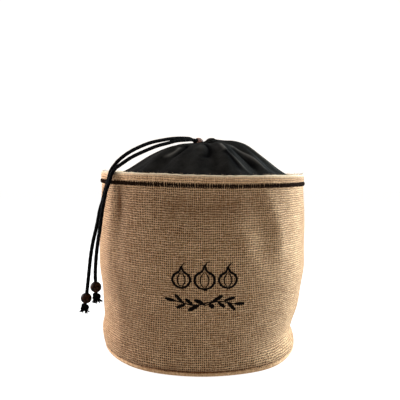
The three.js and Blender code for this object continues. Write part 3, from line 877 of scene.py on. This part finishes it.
def make_cord(name, route, node, material):
    """One free end of the drawstring, a round braid, with the line along its middle and its length"""
    count, sides, strands = 620, 24, 8
    line, length = smooth_route(np.array(route) / 1000 + SLIDER_CENTRE, count)
    s = np.linspace(0, length, count)[:, None]
    angle = full_turn(sides)[None]
    twist = s / BRAID_PITCH * 2 * math.pi
    braid = np.maximum(np.sin(strands / 2 * angle + twist), np.sin(strands / 2 * angle - twist))
    points, faces = tube(line, CORD_RADIUS * (0.97 + 0.03 * braid), sides)
    quads = grid_uvs(count, sides, strands / 2, np.append(s.ravel() / BRAID_PITCH, 0))
    uvs = np.concatenate([quads.reshape(-1, 2), np.zeros((2 * sides, 2))])
    return mesh_piece(name, points, faces, material, uvs, [node]), line, length


def turned_bead(name, radius, bore, centre, axis, node, material, seed):
    """A wooden bead with a rounded bore mouth and a slightly uneven surface"""
    columns = 56
    stop = math.acos(bore / radius)
    angle = np.linspace(-stop * 0.97, stop * 0.97, 30)
    r, h = radius * np.cos(angle), radius * np.sin(angle)
    r = np.concatenate([[bore * 1.02], r, [bore * 1.02, bore, bore, bore]])
    h = np.concatenate([[h[0] * 1.01], h, [h[-1] * 1.01, h[-1] * 0.94, 0, h[0] * 0.94]])
    az = full_turn(columns)
    uneven = 1 - 0.012 * (1 + waves(az[None], h[:, None] * 300, seed, [(4, 1.0, 1.0)])) / 2
    x, y = r[:, None] * np.cos(az) * uneven, r[:, None] * np.sin(az) * uneven
    z = np.broadcast_to(h[:, None], x.shape)
    local = np.stack([x, y, z], -1).reshape(-1, 3)
    turn = np.array(Vector((0, 0, 1)).rotation_difference(Vector(axis)).to_matrix())
    points = local @ turn.T + centre
    along = np.append(h, h[0]) * 1000
    return closed_sheet(name, points, 2 * math.pi * radius * 1000, along, material, node)


def make_knot(name, end, axis, node, material, short, seed):
    """The knotted end of a cord, with its threads frayed out below the knot in a few locks"""
    strands, lock_count, thread = 150, 9, 0.0003
    local = np.random.default_rng(seed)
    t = np.linspace(0, 2 * math.pi, 180)
    ring = KNOT_RADIUS * (1 + 0.5 * np.cos(3 * t))
    line = np.stack([ring * np.cos(2 * t), KNOT_RADIUS * 0.5 * np.sin(3 * t), ring * np.sin(2 * t)], 1)
    line[:, 2] -= 1.5 * KNOT_RADIUS + KNOT_STRAND
    neck = np.column_stack([np.zeros((4, 2)), np.linspace(0.0008, -1.3 * KNOT_RADIUS, 4)])
    parts = [tube(line[:-1], KNOT_STRAND * 1.12 * (1 + 0.05 * np.sin(40 * t[:-1])), 12),
             tube(neck, 0.9 * CORD_RADIUS, 12)]
    root = np.array([0, 0, -(2.1 * KNOT_RADIUS + KNOT_STRAND)])
    locks = [(local.uniform(0.25, 1.25), (i + local.uniform(0, 0.7)) * 2 * math.pi / lock_count)
             for i in range(lock_count)]
    for i in range(strands):
        spread, around = locks[i % lock_count]
        spread, around = spread * local.uniform(0.8, 1.15), around + local.normal(0, 0.12)
        reach = FRAY_LENGTH * local.uniform(0.6, 1.0) * short
        out = np.array([math.cos(around) * spread, math.sin(around) * spread, -1.0])
        curl = local.normal(0, 0.2, 3) * [1, 1, 0.4]
        k = np.linspace(0, 1, 7)[:, None]
        start = root + np.array([math.cos(around), math.sin(around), 0]) * local.uniform(0, 2 * KNOT_STRAND)
        strand = start + out * reach * k + curl * reach * 0.45 * k**2
        parts.append(tube(strand, thread * (1 - 0.5 * k.ravel()), 5))
    points, faces = joined(parts)
    turn = np.array(Vector((0, 0, -1)).rotation_difference(Vector(axis)).to_matrix())
    return mesh_piece(name, points @ turn.T + end, faces, material, None, [node])


def make_drawstring():
    """The slider, and the two free ends with the bead and the knot on each"""
    cord_look, strand_look = cord_material(), strand_material()
    dark_wood = wood_material("dark wood", rgb(3, 1, 1), rgb(62, 36, 22), 0.05)
    red_wood = wood_material("reddish wood", rgb(44, 20, 15), rgb(186, 134, 110), 0.45)
    start, _, out = [np.array(p, float) for p in OUTER_CORD[:3]]
    slider = turned_bead("slider", SLIDER_RADIUS, 2 * CORD_RADIUS + 2 * CLEARANCE, SLIDER_CENTRE,
                         (out - start) / np.linalg.norm(out - start), "slider_bead", red_wood, 2)
    for index, (word, route) in enumerate((("outer", OUTER_CORD), ("inner", INNER_CORD))):
        cord, line, length = make_cord(f"drawstring_{word}", route, f"cord_{word}", cord_look)
        end, last_run = line[-1], line[-1] - line[-4]
        axis = last_run / np.linalg.norm(last_run)
        bore = CORD_RADIUS + CLEARANCE
        half = math.sqrt(END_BEAD_RADIUS**2 - bore**2)
        bead = turned_bead(f"bead_{word}", END_BEAD_RADIUS, bore, end - axis * half, axis,
                           f"end_bead_{word}", dark_wood, 31 + index)
        knot = make_knot(f"knot_{word}", end + axis * CLEARANCE, axis, f"end_knot_{word}",
                         strand_look, (0.8, 1.0)[index], 41 + index)


# Stitching, print and loose fibres

def make_stitches(material):
    """The row of dark upright stitches round the hem, with the zigzag thread under them"""
    count, height, width, thread = 312, 0.0043, 0.0019, 0.00012
    middle = SEAM_HEIGHT + 0.0003
    parts = []
    for i in range(count):
        centre = (i + 0.5 + rng.uniform(-0.12, 0.12)) / count * 2 * math.pi
        lean = rng.uniform(-0.15, 0.15) * width / BAG_RADIUS
        tall = height * rng.uniform(0.9, 1.08)
        k = np.linspace(-1, 1, 5)
        line = on_wall(centre + lean * k, middle + k * tall / 2, 0.00035 + 0.0005 * (1 - k**2))
        parts.append(tube(line, width / 2 * np.array([0.55, 0.95, 1.0, 0.95, 0.55]), 6))
    for side in (-1, 1):
        z = middle + side * height * (0.42 + 0.06 * (-1.0) ** np.arange(count * 2))
        line = on_wall(full_turn(count * 2), z, 0.0004)
        parts.append(tube(np.vstack([line, line[:1]]), thread, 5))
    points, faces = joined(parts)
    mesh_piece("hem_stitches", points, faces, material)


def ribbon(points, widths):
    """A printed stroke on the front of the wall. Points are millimetres right of the middle and up."""
    line, _ = smooth_route(points, max(12, 10 * len(points)))
    tangent = tangents(line)
    normal = np.column_stack([-tangent[:, 1], tangent[:, 0]])
    widths = np.interp(np.linspace(0, 1, len(line)), np.linspace(0, 1, len(widths)), widths)
    across = np.linspace(-0.5, 0.5, 5)
    flat = line[:, None] + normal[:, None] * across[None, :, None] * widths[:, None, None]
    x, z = flat[..., 0].ravel() / 1000, flat[..., 1].ravel() / 1000
    azimuth = np.arcsin(x / wall_radius(np.zeros_like(x), z))
    bulge = 0.00022 + 0.00003 * (1 - 4 * np.tile(across, len(line)) ** 2)
    solid = on_wall(azimuth, z, bulge)
    rows = range(len(line) - 1)
    faces = [[i, i + 1, i + 6, i + 5] for row in rows for i in range(5 * row, 5 * row + 4)]
    return solid, faces, np.column_stack([x, z]) * 1000


def onion(x, z, size):
    """Strokes of a line-drawn onion: its outline, two inner skins, its sprout and its roots"""
    outline = [(0.0, 0.62), (0.1, 0.36), (0.36, 0.16), (0.42, -0.1), (0.26, -0.36), (0.0, -0.45)]
    inner_skin = [(0.03, 0.3), (0.17, 0.05), (0.16, -0.2), (0.04, -0.38)]
    sprout = [(0.02, 0.58), (0.1, 0.72), (0.22, 0.78)]
    root, side_root = [(0.0, -0.45), (-0.02, -0.54)], [(0.04, -0.45), (0.09, -0.53)]
    strokes = []
    for points, widths in ((outline, [1.6, 2.4, 2.5, 2.3, 1.8]), (inner_skin, [0.9, 1.5, 0.9])):
        strokes += [([(side * a, b) for a, b in points], widths) for side in (-1, 1)]
    strokes += [(sprout, [1.5, 0.7]), (root, [1.3, 0.8]), (side_root, [1.2, 0.7])]
    return [([(x + size * a, z + size * b) for a, b in points], widths) for points, widths in strokes]


# The printed onions, in millimetres: right of the middle, up from the floor, and size
ONIONS = [(-21.5, 104.0, 21.0), (2.0, 104.0, 23.5), (25.5, 104.0, 21.0)]

# The sprig under them: each leaf from its foot on the stem to its tip, in millimetres
SPRIG_LEAVES = [
    # foot x, foot z, tip x, tip z, width
    (-27.3, 80.6, -37.9, 82.7, 2.6), (-19.6, 78.5, -28.0, 87.6, 2.7), (-9.8, 77.1, -17.5, 83.4, 2.7),
    (-17.5, 77.1, -26.6, 73.6, 2.6), (-3.5, 77.1, -14.7, 70.8, 3.2), (1.2, 78.6, -8.4, 82.4, 3.2),
    (9.9, 80.6, 20.4, 86.9, 3.0), (15.5, 79.9, 22.5, 74.3, 2.7), (21.8, 81.3, 33.0, 84.1, 2.6),
    (25.3, 79.2, 33.0, 70.8, 2.7), (31.6, 77.4, 42.8, 77.1, 2.6), (6.2, 77.4, 11.8, 74.8, 3.4),
]
SPRIG_STEMS = [
    [(-28.0, 81.0), (-18.0, 78.4), (-9.0, 76.6), (-2.0, 77.4), (4.0, 79.2), (10.0, 81.2)],
    [(32.0, 77.2), (24.5, 79.4), (16.0, 80.6), (9.0, 79.4), (3.0, 76.8), (-2.0, 78.4), (-4.5, 80.6)],
]


def make_print(material):
    """Three line-drawn onions over a sprig"""
    strokes = []
    for x, z, size in ONIONS:
        strokes += onion(x, z, size)
    for x0, z0, x1, z1, width in SPRIG_LEAVES:
        middle = ((x0 + x1) / 2, (z0 + z1) / 2)
        strokes.append(([(x0, z0), middle, (x1, z1)], [1.1, 1.05 * width, 1.3 * width, 1.3 * width, 2.0]))
    strokes += [(stem, [1.0, 1.3, 1.4, 1.3, 1.0]) for stem in SPRIG_STEMS]
    ribbons = [ribbon(line, widths) for line, widths in strokes]
    points, faces = joined([(solid, quads) for solid, quads, _ in ribbons])
    flat = np.vstack([place for _, _, place in ribbons])
    mesh_piece("front_print", points, faces, material, flat[np.array(faces)])


def make_fibres(material):
    """Loose fibres that stand off the cloth, half of them along the rim"""
    count, long, thick = 900, 0.0042, 0.00007
    up = np.array([0, 0, 1.0])
    turn = 2 * math.pi
    places = [(rng.uniform(0, turn), rng.uniform(0.006, 0.195), rng.uniform(0.6, 1.0)) for _ in range(count)]
    places += [(rng.uniform(0, turn), BAG_HEIGHT - 0.0005, rng.uniform(0.5, 1.0)) for _ in range(count)]
    parts = []
    for azimuth, z, size in places:
        rim = z > 0.2
        foot = on_wall(np.array([azimuth]), np.array([z]), -0.0015 if rim else 0.0003)[0]
        out = np.array([math.sin(azimuth), -math.cos(azimuth), 0.0])
        side = np.array([math.cos(azimuth), math.sin(azimuth), 0.0])
        lift = rng.uniform(0.1, 0.9)
        aside = rng.normal(0, 1)
        rise = abs(rng.normal(0, 0.6)) if rim else rng.normal(0, 1)
        way = side * aside + up * rise
        way = way / np.linalg.norm(way) + out * lift * 0.5
        k = np.linspace(0, 1, 5)[:, None]
        length = long * size
        line = foot + way * length * k + (out * 0.4 - way * 0.5) * length * 0.6 * k**2
        parts.append(tube(line, thick * (1 - 0.7 * k.ravel()), 3))
    points, faces = joined(parts)
    mesh_piece("jute_fibres", points, faces, material, smooth=False)


# Camera, floor and light, in metres, degrees, millimetres of lens and shares of the picture

CAMERA_PLACE = (0.0, -0.589, 0.214)
CAMERA_DOWN = 9.2
CAMERA_LENS = 43.02
CAMERA_SHIFT = (-0.0065, 0.1125)
BAG_MIDDLE = (0, 0, 0.12)
FLOOR_REACH = 4
FLOOR_LEVEL = -0.0004


def make_camera():
    """The photograph's view: from just above the rim, looking a little down"""
    data = bpy.data.cameras.new("camera")
    data.lens = CAMERA_LENS
    data.sensor_width = 36.0
    data.shift_x, data.shift_y = CAMERA_SHIFT
    camera = add_object("camera", data)
    camera.location = CAMERA_PLACE
    camera.rotation_euler = (math.radians(90 - CAMERA_DOWN), 0, 0)
    bpy.context.scene.camera = camera


def area_light(name, place, size, power, colour=(1, 1, 1)):
    """A soft rectangular light that points at the middle of the bag"""
    data = bpy.data.lights.new(name, "AREA")
    data.shape = "RECTANGLE"
    data.size, data.size_y = size
    data.energy = power
    data.color = colour
    light = add_object(name, data)
    light.location = place
    aim = Vector(BAG_MIDDLE) - Vector(place)
    light.rotation_euler = aim.to_track_quat("-Z", "Y").to_euler()


def seen_or_lit(tree, seen, lit):
    """A strength that is one value where the camera looks straight at it and another as light"""
    path = tree.nodes.new("ShaderNodeLightPath")
    mix = tree.nodes.new("ShaderNodeMath")
    mix.operation = "MULTIPLY_ADD"
    tree.links.new(path.outputs["Is Camera Ray"], mix.inputs[0])
    mix.inputs[1].default_value = seen - lit
    mix.inputs[2].default_value = lit
    return mix.outputs[0]


def make_studio():
    """A pale floor that shows white, a white world, and three soft lights"""
    g = Graph("studio floor")
    fine = g.noise(g.position(), 60.0, 3)
    g.finish(g.mix(fine, rgb(140, 140, 140), rgb(150, 150, 150)), None, Roughness=0.9, Specular_IOR_Level=0.0)
    g.shader.inputs["Emission Color"].default_value = (1, 1, 1, 1)
    g.tree.links.new(seen_or_lit(g.tree, 0.92, 0.45), g.shader.inputs["Emission Strength"])
    mesh = bpy.data.meshes.new("floor")
    turns = ((-1, -1), (1, -1), (1, 1), (-1, 1))
    corners = [(x * FLOOR_REACH, y * FLOOR_REACH, FLOOR_LEVEL) for x, y in turns]
    mesh.from_pydata(corners, [], [(0, 1, 2, 3)])
    mesh.materials.append(g.material)
    add_object("floor", mesh)
    world = bpy.data.worlds.new("studio")
    world.use_nodes = True
    background = world.node_tree.nodes["Background"]
    background.inputs["Color"].default_value = (1.0, 0.95, 0.9, 1)
    world.node_tree.links.new(seen_or_lit(world.node_tree, 1.13, 0.3), background.inputs["Strength"])
    bpy.context.scene.world = world
    area_light("right", (0.84, 0.37, 0.3), (0.6, 0.8), 32.4, (0.775, 0.925, 1.0))
    area_light("left", (-0.86, 0.27, 0.42), (0.5, 0.7), 14.0, (0.98, 0.96, 1.0))
    area_light("top", (0.15, 0.1, 1.2), (0.6, 0.6), 5.0)
    bpy.context.scene.view_settings.view_transform = "Standard"


make_camera()
make_drawstring()
jute = jute_material()
make_wall(jute)
make_base(jute)
make_cover(cotton_material())
make_stitches(stitch_material())
make_print(ink_material())
make_fibres(hair_material())
make_studio()
